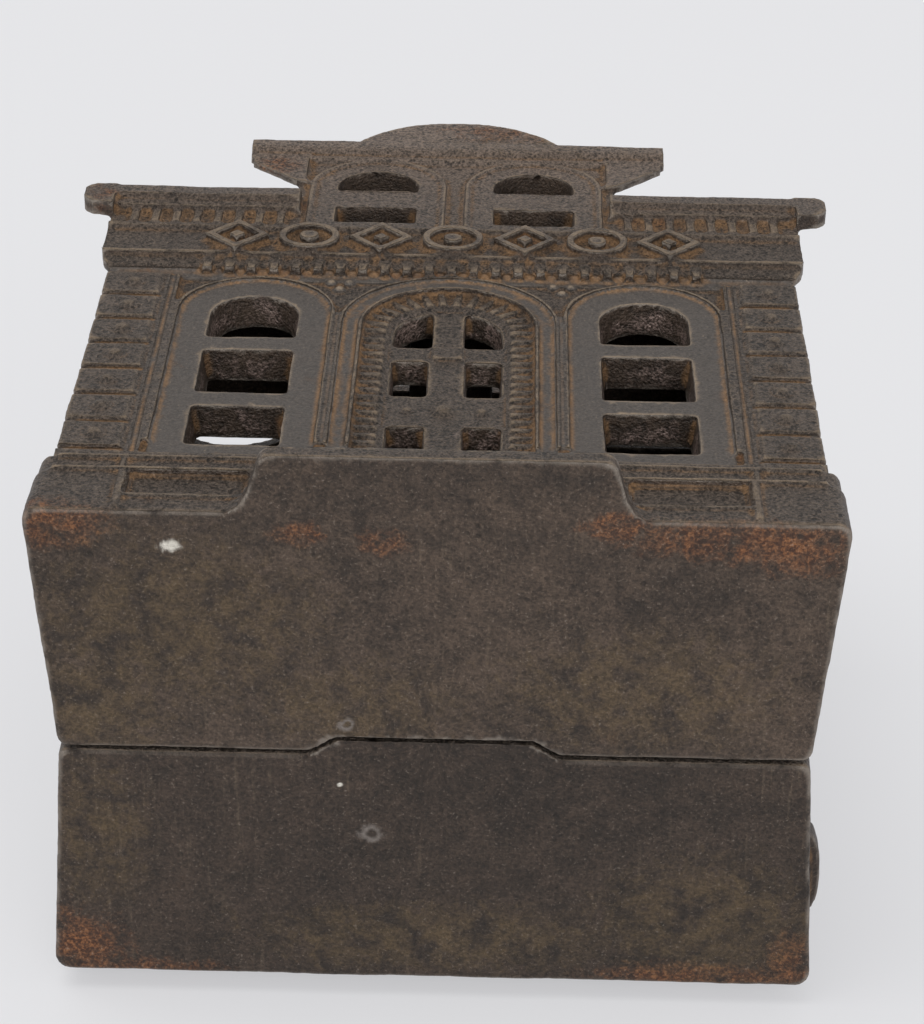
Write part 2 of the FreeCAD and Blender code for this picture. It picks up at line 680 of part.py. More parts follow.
def joint_notch():
    """The notch in the front casting's floor that takes the locating tongue."""
    y0 = REAR.joint_y + 0.5
    y1 = REAR.joint_y - TONGUE_HEIGHT - TONGUE_PLAY
    root = TONGUE_ROOT + TONGUE_PLAY * 1.5
    tip = TONGUE_TIP + TONGUE_PLAY
    outline = [(-root, y0), (-root, REAR.joint_y), (-tip, y1), (tip, y1),
               (root, REAR.joint_y), (root, y0)]
    return prism_z(outline, -1, FLOOR_THICKNESS + 1)


def roof_gap(depth, outward):
    """A lens-shaped hollow in a roof's joint edge, where the castings stand apart."""
    half_chord = 6.3
    radius = (half_chord ** 2 + depth ** 2) / (2 * depth)
    centre = FreeCAD.Vector(-26.2, JOINT_Y - outward * (radius - depth), MAIN_ROOF_UNDER - 1)
    return Part.makeCylinder(radius, 4, centre, FreeCAD.Vector(0, 0, 1))


def front_half():
    """The front casting: street front, half the floor and roofs, tapped post."""
    shell = outer_storeys(FRONT).cut(cavity(FRONT))
    relief = quoins(FRONT, True) + upright_lines(FRONT) + window_frames(FRONT)
    relief += entablature(FRONT) + upper_room_face(FRONT) + front_steps()
    relief += door_surround() + base_lines() + panel_rims() + beads() + [ground_course()]
    body = shell.multiFuse(relief)
    body = body.cut(Part.makeCompound(door_recesses() + base_panels()))
    small = door_voussoirs() + door_bosses() + spandrel_dots() + room_window_frames(FRONT)
    small += dentils(FRONT, 29.5, 2.5, 1.2, 60.2, DENTIL_TOP + 0.2, 1.3)
    small += cornice_brackets(FRONT)
    small += frieze_ornament(FRONT)
    body = body.multiFuse(small)
    post = rod_y(0, SCREW_Z, POST_RADIUS, FACE_WALL - 1, FRONT.joint_y)
    body = body.fuse(post)
    openings = window_openings() + door_openings() + room_window_openings()
    body = body.cut(Part.makeCompound(openings))
    tapped = rod_y(0, SCREW_Z, TAPPED_RADIUS, FRONT.joint_y + 1, FRONT.joint_y - TAPPED_DEPTH)
    return body.cut(Part.makeCompound([tapped, joint_notch(), roof_gap(0.5, -1)]))


def cornice_brackets(casting):
    """Brackets under the main cornice, left and right of the upper room."""
    pieces = []
    for side in (-1, 1):
        x = ROOM_HALF_WIDTH + 1.4
        while x < FRIEZE_HALF_WIDTH - 0.8:
            pieces.append(block(side * (x - 0.55), side * (x + 0.55), casting.y(2.2), casting.y(0),
                                FRIEZE_TOP + 0.9, CORNICE_BOTTOM + 0.2))
            x += 2.4
    return pieces


# ---- rear casting -------------------------------------------------------------------
def joint_tongue():
    """The tongue on the rear casting's floor that locates the two castings."""
    y0 = REAR.joint_y + 1
    y1 = REAR.joint_y - TONGUE_HEIGHT
    outline = [(-TONGUE_ROOT, y0), (-TONGUE_ROOT, REAR.joint_y), (-TONGUE_TIP, y1),
               (TONGUE_TIP, y1), (TONGUE_ROOT, REAR.joint_y), (TONGUE_ROOT, y0)]
    return prism_z(outline, 0, FLOOR_THICKNESS)


def coin_slot():
    """The slot in the upper room's roof, cut in the rear casting's joint edge."""
    half = SLOT_LENGTH / 2
    return block(-half, half, REAR.joint_y - 0.5, REAR.joint_y + SLOT_WIDTH,
                 ROOM_ROOF_UNDER - 2, ROOM_ROOF_TOP + 1)


def gate_stub():
    """The dressed-down stub of the runner, left on the right side of the casting."""
    half = BASE_HALF_WIDTH - REAR_NARROWER
    outline = [(half - 3.0, 34.9), (half - 1.2, 35.4), (half - 0.1, 36.6), (half + 0.5, 38.5),
               (half + 0.7, 41.0), (half + 0.6, 43.6), (half + 0.1, 45.2), (half - 1.2, 46.0)]
    stub = prism_z(outline, 4.4, 8.2)
    rims = [edge for edge in stub.Edges if edge.BoundBox.ZLength < 0.01
            and edge.BoundBox.XMin > half - 1.3]
    return stub.makeChamfer(0.4, rims)


def rear_half():
    """The rear casting: plain back, half the floor and roofs, screw sleeve."""
    shell = outer_storeys(REAR).cut(cavity(REAR))
    relief = quoins(REAR, False) + upright_lines(REAR) + window_frames(REAR)
    relief += entablature(REAR) + upper_room_face(REAR)
    relief += [joint_tongue(), gate_stub()]
    relief.append(rod_y(0, SCREW_Z, PAD_RADIUS, REAR.y(-1), REAR.y(FRIEZE_PROUD + PAD_PROUD)))
    relief.append(rod_y(0, SCREW_Z, POST_RADIUS, REAR.y(-FACE_WALL + 1), REAR.joint_y))
    body = shell.multiFuse(relief)
    hole = rod_y(0, SCREW_Z, SCREW_HOLE_RADIUS, REAR.joint_y - 1, REAR.y(5))
    return body.cut(Part.makeCompound([hole, coin_slot(), roof_gap(1.6, 1)]))


# ---- screw ---------------------------------------------------------------------------
def assembly_screw():
    """A slotted round-head machine screw through the rear casting."""
    seat_y = REAR.y(FRIEZE_PROUD + PAD_PROUD)
    tip_y = FRONT.joint_y - SCREW_ENGAGEMENT
    head = dome_y(0, SCREW_Z, HEAD_RADIUS, HEAD_HEIGHT - 0.6, seat_y + 0.6, 1)
    rim = rod_y(0, SCREW_Z, HEAD_RADIUS, seat_y, seat_y + 0.6)
    shank = rod_y(0, SCREW_Z, SCREW_RADIUS, tip_y, seat_y + 0.3)
    slot_y = seat_y + HEAD_HEIGHT - HEAD_SLOT_DEPTH
    slot = block(-HEAD_RADIUS - 1, HEAD_RADIUS + 1, slot_y, seat_y + HEAD_HEIGHT + 1,
                 SCREW_Z - HEAD_SLOT_WIDTH / 2, SCREW_Z + HEAD_SLOT_WIDTH / 2)
    screw = rim.multiFuse([head, shank]).cut(slot)
    return screw.removeSplitter()


def placing_shift():
    """From the front wall's plane to the middle of the bounding box."""
    front_y = -BASE_PROUD - STEPS_PROJECTION
    rear_y = REAR.y(FRIEZE_PROUD + PAD_PROUD) + HEAD_HEIGHT
    return FreeCAD.Vector(0, -(front_y + rear_y) / 2, 0)


def main():
    os.makedirs("parts", exist_ok=True)
    shift = placing_shift()
    parts = {"front_half": front_half, "rear_half": rear_half, "assembly_screw": assembly_screw}
    for name, make in parts.items():
        shape = make()
        shape.translate(shift)
        solids = len(shape.Solids)
        box = shape.BoundBox
        print(name, "solids", solids, "valid", shape.isValid(), "volume", round(shape.Volume),
              "x", round(box.XMin, 2), round(box.XMax, 2), "y", round(box.YMin, 2),
              round(box.YMax, 2), "z", round(box.ZMin, 2), round(box.ZMax, 2))
        shape.exportStep("parts/" + name + ".step")


main()
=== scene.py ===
import bpy
import math
import mathutils
import numpy
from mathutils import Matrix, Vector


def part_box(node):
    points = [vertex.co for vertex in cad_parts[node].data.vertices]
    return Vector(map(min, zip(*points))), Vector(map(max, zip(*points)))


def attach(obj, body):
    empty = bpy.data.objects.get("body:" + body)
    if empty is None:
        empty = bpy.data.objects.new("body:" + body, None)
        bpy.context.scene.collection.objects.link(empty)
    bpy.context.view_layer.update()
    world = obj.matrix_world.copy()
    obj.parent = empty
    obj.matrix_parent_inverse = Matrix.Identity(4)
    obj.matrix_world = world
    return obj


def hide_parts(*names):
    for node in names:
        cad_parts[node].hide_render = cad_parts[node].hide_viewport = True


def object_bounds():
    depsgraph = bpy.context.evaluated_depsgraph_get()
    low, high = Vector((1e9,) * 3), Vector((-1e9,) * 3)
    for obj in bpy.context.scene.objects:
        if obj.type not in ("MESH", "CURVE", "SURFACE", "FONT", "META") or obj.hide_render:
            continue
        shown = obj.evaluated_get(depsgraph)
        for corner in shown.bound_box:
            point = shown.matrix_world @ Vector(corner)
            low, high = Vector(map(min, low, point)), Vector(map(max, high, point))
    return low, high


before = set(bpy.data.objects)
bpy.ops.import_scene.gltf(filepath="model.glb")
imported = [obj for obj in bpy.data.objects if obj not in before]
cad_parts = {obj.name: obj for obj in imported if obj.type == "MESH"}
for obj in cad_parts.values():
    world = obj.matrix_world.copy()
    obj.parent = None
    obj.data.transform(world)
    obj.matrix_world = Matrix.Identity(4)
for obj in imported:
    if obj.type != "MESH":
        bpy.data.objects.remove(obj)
cad_low, cad_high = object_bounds()
bpy.ops.object.select_all(action="DESELECT")
MM = 0.001


# ---- Front casting ---------------------------------------------------------
# The street front, the steps and half of the floor, walls and roofs, poured in
# grey iron in a sand mould. Handling has rounded every edge, the sand has left
# a fine grain, and a century of damp has left brown rust in the hollows.
FRONT_VOXEL = 0.24 * MM
TRIANGLE_LIMIT = 195000
MERGE_DISTANCE = 0.001 * MM
SMOOTHING = 0.5                # share of the way to the neighbours' middle in one round
GROOVE_WIDTH = 0.75 * MM       # narrow relief: what is between two beads, or a sharp edge
GROOVE_DEPTH = 0.10 * MM
HOLLOW_WIDTH = 2.1 * MM        # broad relief: a sunk panel or the root of a cornice
HOLLOW_DEPTH = 0.40 * MM
MOULD_WAVE = 6 * MM
MOULD_SWELL = 0.22 * MM        # slow unevenness of the sand mould
SAND_GRAIN = 0.8 * MM
SAND_ROUGHNESS = 0.07 * MM     # grain coarse enough to be part of the shape


def apply_modifiers(piece):
    """Applies every modifier of a piece, in order."""
    bpy.context.view_layer.objects.active = piece
    piece.select_set(True)
    for modifier in list(piece.modifiers):
        bpy.ops.object.modifier_apply(modifier=modifier.name)
    piece.select_set(False)


def sink(piece, size, depth, layers):
    """Presses a surface inwards by up to depth, following a soft noise."""
    texture = bpy.data.textures.new(piece.name + "_unevenness", type="CLOUDS")
    texture.noise_scale = size
    texture.noise_depth = layers
    modifier = piece.modifiers.new("sink", "DISPLACE")
    modifier.texture = texture
    modifier.texture_coords = "LOCAL"
    modifier.strength = depth
    modifier.mid_level = 1.0


def positions(mesh):
    """All vertex positions of a mesh as one array."""
    flat = numpy.empty(len(mesh.vertices) * 3)
    mesh.vertices.foreach_get("co", flat)
    return flat.reshape(-1, 3)


def mark_relief(piece, name, voxel, width, reach):
    """Stores how far each point lies below its surroundings, from -1 to 1.

    Hollows and grooves come out positive, ridges and worn edges negative. The
    number of rounds that evens out a given width grows with its square.
    """
    smoother = piece.modifiers.new("average", "SMOOTH")
    smoother.factor = SMOOTHING
    smoother.iterations = max(1, round((width / voxel) ** 2))
    even = piece.evaluated_get(bpy.context.evaluated_depsgraph_get())
    shift = positions(even.to_mesh()) - positions(piece.data)
    even.to_mesh_clear()
    piece.modifiers.remove(smoother)
    normals = numpy.empty(len(piece.data.vertices) * 3)
    piece.data.vertex_normals.foreach_get("vector", normals)
    depth = (shift * normals.reshape(-1, 3)).sum(axis=1) / reach
    layer = piece.data.attributes.new(name, "FLOAT", "POINT")
    layer.data.foreach_set("value", numpy.clip(depth, -1, 1))


def new_skin(node, name, voxel):
    """Copies one CAD node as a new piece with an even, closed skin of small faces."""
    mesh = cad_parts[node].data.copy()
    mesh.name = name
    mesh.materials.clear()
    piece = bpy.data.objects.new(name, mesh)
    bpy.context.scene.collection.objects.link(piece)
    bpy.context.view_layer.objects.active = piece
    piece.select_set(True)
    bpy.ops.object.mode_set(mode="EDIT")
    bpy.ops.mesh.select_all(action="SELECT")
    bpy.ops.mesh.remove_doubles(threshold=MERGE_DISTANCE)
    bpy.ops.object.mode_set(mode="OBJECT")
    skin = piece.modifiers.new("skin", "REMESH")
    skin.mode = "VOXEL"
    skin.voxel_size = voxel
    apply_modifiers(piece)
    return piece


def shade_smooth(piece):
    """Shades one piece as a smooth surface."""
    piece.select_set(True)
    bpy.ops.object.shade_smooth()
    piece.select_set(False)


def pour(node, name, voxel):
    """Makes the worn, sand-cast version of one casting."""
    piece = new_skin(node, name, voxel)
    wear = piece.modifiers.new("wear", "SMOOTH")
    wear.factor = SMOOTHING
    wear.iterations = 1
    apply_modifiers(piece)
    mark_relief(piece, "groove", voxel, GROOVE_WIDTH, GROOVE_DEPTH)
    mark_relief(piece, "hollow", voxel, HOLLOW_WIDTH, HOLLOW_DEPTH)
    sink(piece, MOULD_WAVE, MOULD_SWELL, 1)
    sink(piece, SAND_GRAIN, SAND_ROUGHNESS, 1)
    thin = piece.modifiers.new("thin", "DECIMATE")
    thin.ratio = min(1.0, TRIANGLE_LIMIT / (2 * len(piece.data.polygons)))
    apply_modifiers(piece)

    # No point may leave the box of the solid it was made from.
    low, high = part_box(node)
    kept = numpy.clip(positions(piece.data), numpy.array(low), numpy.array(high))
    piece.data.vertices.foreach_set("co", kept.ravel())
    piece.data.update()
    shade_smooth(piece)
    return piece


def add(tree, kind, x, y, **settings):
    """One shader node at a place on the board, with its plain settings."""
    made = tree.nodes.new(kind)
    made.location = (x, y)
    for key, value in settings.items():
        setattr(made, key, value)
    return made


def noise(tree, coordinates, x, y, scale, detail, roughness=0.55, distortion=0.0):
    """A noise texture read in object space; scale is in features per metre."""
    made = add(tree, "ShaderNodeTexNoise", x, y)
    made.inputs["Scale"].default_value = scale
    made.inputs["Detail"].default_value = detail
    made.inputs["Roughness"].default_value = roughness
    made.inputs["Distortion"].default_value = distortion
    tree.links.new(coordinates, made.inputs["Vector"])
    return made.outputs["Fac"]


def between(tree, value, x, y, low, high):
    """0 below low, 1 above high, and a soft step between."""
    made = add(tree, "ShaderNodeMapRange", x, y, interpolation_type="SMOOTHSTEP")
    made.inputs["From Min"].default_value = low
    made.inputs["From Max"].default_value = high
    tree.links.new(value, made.inputs["Value"])
    return made.outputs["Result"]


def combine(tree, operation, x, y, first, second, third=None):
    """Arithmetic on sockets or plain numbers."""
    made = add(tree, "ShaderNodeMath", x, y, operation=operation)
    for socket, value in zip(made.inputs, (first, second, third)):
        if isinstance(value, (int, float)):
            socket.default_value = value
        elif value is not None:
            tree.links.new(value, socket)
    return made.outputs[0]


def tint(tree, x, y, share, under, over, mode="MIX"):
    """Lays one colour over another by a share; either may be a socket."""
    made = add(tree, "ShaderNodeMix", x, y, data_type="RGBA", blend_type=mode)
    for socket, value in ((made.inputs["Factor"], share), (made.inputs[6], under),
                          (made.inputs[7], over)):
        if isinstance(value, bpy.types.NodeSocket):
            tree.links.new(value, socket)
        else:
            socket.default_value = value
    return made.outputs[2]


def new_group(name, inputs, outputs):
    """An empty shader group with named number inputs and outputs."""
    group = bpy.data.node_groups.new(name, "ShaderNodeTree")
    for label, value in inputs.items():
        socket = group.interface.new_socket(label, in_out="INPUT",
                                            socket_type="NodeSocketFloat")
        socket.default_value = value
    for label in outputs:
        group.interface.new_socket(label, in_out="OUTPUT", socket_type="NodeSocketFloat")
    entry = add(group, "NodeGroupInput", -1200, 0)
    leave = add(group, "NodeGroupOutput", 900, 0)
    return group, entry, leave


def cast_skin_group():
    """Grain of sand-cast iron: a height for bumps, bright specks and soft mottling."""
    group, entry, leave = new_group("cast skin", {"Pitting": 0.5},
                                    ["Height", "Speck", "Mottle", "Cloud", "Streak"])
    place = add(group, "ShaderNodeTexCoord", -1200, 300).outputs["Object"]
    grain = noise(group, place, -900, 400, 3600, 2, 0.6)
    pebble = noise(group, place, -900, 200, 1900, 4, 0.65)
    pits = add(group, "ShaderNodeTexVoronoi", -900, 0, feature="SMOOTH_F1")
    pits.inputs["Scale"].default_value = 900
    pits.inputs["Smoothness"].default_value = 0.4
    group.links.new(place, pits.inputs["Vector"])
    pit = between(group, pits.outputs["Distance"], -650, 0, 0.32, 0.12)
    where = between(group, noise(group, place, -900, -250, 160, 3), -650, -250, 0.46, 0.62)
    pit = combine(group, "MULTIPLY", -450, 0, combine(group, "MULTIPLY", -550, -100, pit, where),
                  entry.outputs["Pitting"])
    height = combine(group, "MULTIPLY_ADD", -450, 300, pebble, 0.75, grain)
    height = combine(group, "MULTIPLY_ADD", -200, 200, pit, -0.5, height)
    group.links.new(height, leave.inputs["Height"])
    speck = between(group, grain, -450, 500, 0.63, 0.74)
    group.links.new(speck, leave.inputs["Speck"])
    drawn = add(group, "ShaderNodeVectorMath", -1050, -900, operation="MULTIPLY")
    drawn.inputs[1].default_value = (1, 0.07, 0.3)
    group.links.new(place, drawn.inputs[0])
    streak = between(group, noise(group, drawn.outputs[0], -900, -900, 1700, 3), -650, -900,
                     0.56, 0.72)
    group.links.new(streak, leave.inputs["Streak"])
    group.links.new(noise(group, place, -900, -500, 330, 5, 0.65), leave.inputs["Mottle"])
    group.links.new(noise(group, place, -900, -700, 46, 6, 0.6, 0.6), leave.inputs["Cloud"])
    return group


def rust_group():
    """Where rust has bloomed: in blotches, more in hollows, none on rubbed edges."""
    group, entry, leave = new_group(
        "rust bloom", {"Blotch Size": 9 * MM, "Amount": 0.5, "Hollow": 0.0, "Groove": 0.0},
        ["Mask", "Depth"])
    place = add(group, "ShaderNodeTexCoord", -1200, 300).outputs["Object"]
    scale = combine(group, "DIVIDE", -1000, 100, 1.0, entry.outputs["Blotch Size"])
    blotch = add(group, "ShaderNodeTexNoise", -800, 300)
    blotch.inputs["Detail"].default_value = 9
    blotch.inputs["Roughness"].default_value = 0.68
    blotch.inputs["Distortion"].default_value = 0.5
    group.links.new(place, blotch.inputs["Vector"])
    group.links.new(scale, blotch.inputs["Scale"])
    fill = combine(group, "MULTIPLY_ADD", -600, 100, entry.outputs["Hollow"], 0.16,
                   blotch.outputs["Fac"])
    fill = combine(group, "MULTIPLY_ADD", -450, 100, entry.outputs["Groove"], 0.12, fill)
    fill = combine(group, "MULTIPLY_ADD", -300, 100, entry.outputs["Amount"], 0.3, fill)
    group.links.new(between(group, fill, 0, 100, 0.74, 0.9), leave.inputs["Mask"])
    group.links.new(between(group, fill, 0, -150, 0.8, 1.05), leave.inputs["Depth"])
    return group


def patch_group():
    """A soft-edged, ragged patch round one place, measured in millimetres."""
    group = bpy.data.node_groups.new("patch", "ShaderNodeTree")
    for label in ("X", "Y", "Z", "Width", "Depth", "Height"):
        group.interface.new_socket(label, in_out="INPUT", socket_type="NodeSocketFloat")
    group.interface.new_socket("Mask", in_out="OUTPUT", socket_type="NodeSocketFloat")
    entry = add(group, "NodeGroupInput", -1200, 0)
    leave = add(group, "NodeGroupOutput", 600, 0)
    place = add(group, "ShaderNodeTexCoord", -1200, 300).outputs["Object"]
    middle = add(group, "ShaderNodeCombineXYZ", -900, 0)
    reach = add(group, "ShaderNodeCombineXYZ", -900, -200)
    for index in range(3):
        group.links.new(entry.outputs[index], middle.inputs[index])
        group.links.new(entry.outputs[index + 3], reach.inputs[index])
    scaled = add(group, "ShaderNodeVectorMath", -900, 300, operation="SCALE")
    scaled.inputs["Scale"].default_value = 1 / MM
    group.links.new(place, scaled.inputs[0])
    offset = add(group, "ShaderNodeVectorMath", -700, 200, operation="SUBTRACT")
    group.links.new(scaled.outputs[0], offset.inputs[0])
    group.links.new(middle.outputs[0], offset.inputs[1])
    share = add(group, "ShaderNodeVectorMath", -500, 200, operation="DIVIDE")
    group.links.new(offset.outputs[0], share.inputs[0])
    group.links.new(reach.outputs[0], share.inputs[1])
    length = add(group, "ShaderNodeVectorMath", -300, 200, operation="LENGTH")
    group.links.new(share.outputs[0], length.inputs[0])
    ragged = noise(group, place, -500, -200, 330, 6, 0.7, 0.4)
    broad = combine(group, "MULTIPLY_ADD", -100, 0, ragged, 2.6, -1.3)
    edge = combine(group, "ADD", 100, 100, length.outputs["Value"], broad)
    group.links.new(between(group, edge, 300, 100, 1.1, 0.45), leave.inputs["Mask"])
    return group


cast_skin = cast_skin_group()
rust_bloom = rust_group()
patch = patch_group()


def place_group(tree, group, x, y):
    """Puts a shared shader group into a material."""
    made = add(tree, "ShaderNodeGroup", x, y)
    made.node_tree = group
    return made


def spots(tree, places, x, y):
    """The union of several patches, each given by its middle and its reach in mm."""
    total = 0.0
    for index, numbers in enumerate(places):
        made = place_group(tree, patch, x, y - 200 * index)
        for socket, number in zip(made.inputs, numbers):
            socket.default_value = number
        total = combine(tree, "MAXIMUM", x + 200, y - 200 * index, total, made.outputs["Mask"])
    return total


# The frames round the openings stand proud of the wall and behind the raised
# lines, so the depth of a point on the street front tells whether it is on one.
FRAME_BACK = -22.54 * MM
FRAME_FACE = -22.68 * MM
LINE_BACK = -23.00 * MM
LINE_FACE = -23.20 * MM
BUBBLE_SHARE = 0.55            # how much of a bubble's ring is its dark middle


def cast_iron(name, dark, mid, rust_amount, dust_amount, rust_places, ochre_places,
              glint_places, fleck, ring):
    """Old sand-cast iron: dark oxide, rust, dust in grooves, rubbed bright edges.

    Places are patches: a middle and a reach in mm. The fleck and the ring are one each. The colour
    also holds painted light: a sheen on the front, shade in the broad hollows and glints.
    """
    material = bpy.data.materials.new(name)
    material.use_nodes = True
    tree = material.node_tree
    shader = tree.nodes["Principled BSDF"]
    skin = place_group(tree, cast_skin, -1500, 0)
    groove = add(tree, "ShaderNodeAttribute", -1900, 400, attribute_name="groove")
    groove = groove.outputs["Fac"]
    hollow = add(tree, "ShaderNodeAttribute", -1900, 200, attribute_name="hollow")
    hollow = hollow.outputs["Fac"]
    where = add(tree, "ShaderNodeTexCoord", -1900, 0)
    rust = place_group(tree, rust_bloom, -1500, -400)
    rust.inputs["Blotch Size"].default_value = 11 * MM
    rust.inputs["Amount"].default_value = rust_amount
    tree.links.new(hollow, rust.inputs["Hollow"])
    tree.links.new(groove, rust.inputs["Groove"])

    # Dark oxide with cloudy lighter patches.
    tone = combine(tree, "MULTIPLY_ADD", -1250, 200, skin.outputs["Cloud"], 0.7,
                   skin.outputs["Mottle"])
    tone = combine(tree, "MULTIPLY_ADD", -1150, 200, skin.outputs["Height"], 0.35, tone)
    tone = between(tree, tone, -1050, 200, 0.85, 1.45)
    colour = tint(tree, -800, 200, tone, dark, mid)

    # Surfaces that face forward are painted paler and greyer, more so towards the top: a painted
    # sheen.
    facing = add(tree, "ShaderNodeSeparateXYZ", -1700, -700)
    tree.links.new(where.outputs["Normal"], facing.inputs[0])
    front = between(tree, facing.outputs["Y"], -1400, -700, -0.5, -0.95)
    front_sheen = combine(tree, "MULTIPLY", -1050, 0, front, 0.6)
    upright = add(tree, "ShaderNodeSeparateXYZ", -1700, -900)
    tree.links.new(where.outputs["Object"], upright.inputs[0])
    high = between(tree, upright.outputs["Z"], -1400, -1100, 62 * MM, 98 * MM)
    paler = tint(tree, -900, -100, high, (0.190, 0.150, 0.120, 1), (0.420, 0.315, 0.245, 1))
    colour = tint(tree, -650, 200, front_sheen, colour, paler)

    # The flat frames round the openings, and their bars, are rubbed smooth and grey,
    # and the broad hollows are darkened by dirt and by painted shade.
    frames = combine(tree, "MULTIPLY", -1050, -300,
                     between(tree, upright.outputs["Y"], -1400, -1500, FRAME_BACK, FRAME_FACE),
                     between(tree, upright.outputs["Y"], -1400, -1700, LINE_FACE, LINE_BACK))
    smooth = combine(tree, "MULTIPLY", -900, -300, frames, front)
    colour = tint(tree, -630, 200, combine(tree, "MULTIPLY", -750, -300, smooth, 0.7), colour,
                  (0.090, 0.079, 0.070, 1))
    # Painted shade and dirt: darker in the broad hollows.
    dirt_and_shade = between(tree, hollow, -1400, -900, 0.10, 0.75)
    colour = tint(tree, -600, 200, combine(tree, "MULTIPLY", -1050, -100, dirt_and_shade, 0.55), colour,
                  (0.045, 0.030, 0.022, 1))

    # The flat underside is drawn with fine rub marks that run from front to back.
    under = between(tree, facing.outputs["Z"], -1400, -1300, -0.6, -0.95)
    rubs = combine(tree, "MULTIPLY", -1050, -200, under, skin.outputs["Streak"])
    rubs = combine(tree, "MULTIPLY", -950, -200, rubs,
                   between(tree, skin.outputs["Cloud"], -1200, -1300, 0.42, 0.62))
    colour = tint(tree, -580, 200, combine(tree, "MULTIPLY", -850, -200, rubs, 0.5), colour,
                  (0.165, 0.120, 0.082, 1))

    # Brown films in the blotches, then orange rust at their cores.
    film = combine(tree, "MULTIPLY", -700, -200, rust.outputs["Mask"], 0.7)
    colour = tint(tree, -500, 200, film, colour, (0.105, 0.055, 0.027, 1))
    core = combine(tree, "MULTIPLY", -550, -200, rust.outputs["Depth"], 0.8)
    colour = tint(tree, -350, 200, core, colour, (0.27, 0.095, 0.028, 1))
    bloom = combine(tree, "MULTIPLY", -700, -1000, spots(tree, rust_places, -1500, -1000),
                    between(tree, skin.outputs["Mottle"], -900, -1000, 0.30, 0.62))
    orange = tint(tree, -600, -900, between(tree, skin.outputs["Height"], -900, -900, 0.7, 1.15),
                  (0.105, 0.036, 0.016, 1), (0.34, 0.135, 0.045, 1))
    colour = tint(tree, -300, 100, combine(tree, "MULTIPLY", -500, -1000, bloom, 0.85), colour,
                  orange)
    ochre = combine(tree, "MULTIPLY", -700, -1200, spots(tree, ochre_places, -1500, -3000),
                    between(tree, skin.outputs["Mottle"], -900, -1200, 0.34, 0.66))
    colour = tint(tree, -250, 100, combine(tree, "MULTIPLY", -500, -1200, ochre, 0.65), colour,
                  (0.150, 0.100, 0.048, 1))

    # The drafted sides of the openings get a painted glint: a warm highlight on the high grain,
    # and they are made smoother.
    glint = spots(tree, glint_places, -1500, -5000)
    glint = combine(tree, "MULTIPLY", -700, -1400, glint,
                    between(tree, skin.outputs["Height"], -900, -1400, 0.62, 1.05))
    colour = tint(tree, -220, 100, combine(tree, "MULTIPLY", -500, -1400, glint, 0.9), colour,
                  (0.44, 0.32, 0.275, 1))

    # Ochre dust packed into the grooves.
    dust = between(tree, groove, -900, 600, 0.10, 0.46)
    patchy = between(tree, skin.outputs["Mottle"], -900, 800, 0.25, 0.60)
    dust = combine(tree, "MULTIPLY", -700, 700, combine(tree, "MULTIPLY", -800, 700, dust, patchy),
                   dust_amount)
    colour = tint(tree, -200, 200, dust, colour, (0.29, 0.160, 0.070, 1))

    # Dark pores, then rubbed edges and the odd bright speck of clean metal.
    grainy = between(tree, skin.outputs["Height"], -500, 1400, 0.60, 1.10)
    rugged = combine(tree, "SUBTRACT", -450, 1500, front, smooth)
    strength = combine(tree, "MULTIPLY_ADD", -300, 1400, rugged, 0.40, 0.45)
    colour = tint(tree, -150, 100, strength, colour, grainy, "MULTIPLY")
    rubbed = between(tree, groove, -900, 1000, -0.10, -0.55)
    ragged = between(tree, skin.outputs["Mottle"], -900, 1200, 0.30, 0.55)
    rubbed = combine(tree, "MULTIPLY", -700, 1000, rubbed, ragged)
    bright = combine(tree, "MAXIMUM", -500, 1000, rubbed,
                     combine(tree, "MULTIPLY", -650, 1200, skin.outputs["Speck"], 0.5))
    metal_tone = tint(tree, -300, 1200, front, (0.33, 0.285, 0.24, 1), (0.36, 0.265, 0.175, 1))
    colour = tint(tree, -50, 200, combine(tree, "MULTIPLY", -350, 1000, bright, 0.68), colour,
                  metal_tone)

    # A fleck of old white paint on the front, a painted glint on a casting bubble on the back, and
    # the pale rim of a casting bubble.
    colour = tint(tree, 0, 300, spots(tree, [fleck], -1500, -7500), colour, (0.72, 0.68, 0.60, 1))
    x, y, z, width, depth, height = ring
    bubble = [(x, y, z, width * BUBBLE_SHARE, depth * BUBBLE_SHARE, height)]
    rim = combine(tree, "SUBTRACT", -200, -8000, spots(tree, [ring], -1500, -8000),
                  spots(tree, bubble, -1500, -8300))
    colour = tint(tree, 100, 300, combine(tree, "MAXIMUM", -100, -8000, rim, 0.0), colour,
                  (0.21, 0.18, 0.16, 1))
    tree.links.new(colour, shader.inputs["Base Color"])

    # Rust and dust are dull, clean and handled iron shines a little.
    dull = combine(tree, "MAXIMUM", -350, -400, rust.outputs["Mask"], dust)
    dull = combine(tree, "MAXIMUM", -300, -500, dull, bloom)
    rough = combine(tree, "MULTIPLY_ADD", -200, -300, dull, 0.28, 0.40)
    rough = combine(tree, "MULTIPLY_ADD", -100, -400, skin.outputs["Mottle"], 0.16, rough)
    rough = combine(tree, "MULTIPLY_ADD", 0, -400, glint, -0.22, rough)
    tree.links.new(rough, shader.inputs["Roughness"])
    metal = combine(tree, "MULTIPLY_ADD", -200, -600, dull, -0.3, 0.35)
    tree.links.new(metal, shader.inputs["Metallic"])
    bump = add(tree, "ShaderNodeBump", -200, -800)
    bump.inputs["Strength"].default_value = 1.0
    bump.inputs["Distance"].default_value = 0.30 * MM
    coarse = combine(tree, "MULTIPLY_ADD", -500, -800, rugged, 1.0, 1.0)
    coarse = combine(tree, "MULTIPLY_ADD", -450, -700, smooth, -0.6, coarse)
    relief = combine(tree, "MULTIPLY", -350, -800, skin.outputs["Height"], coarse)
    tree.links.new(relief, bump.inputs["Height"])
    tree.links.new(bump.outputs["Normal"], shader.inputs["Normal"])
    return material
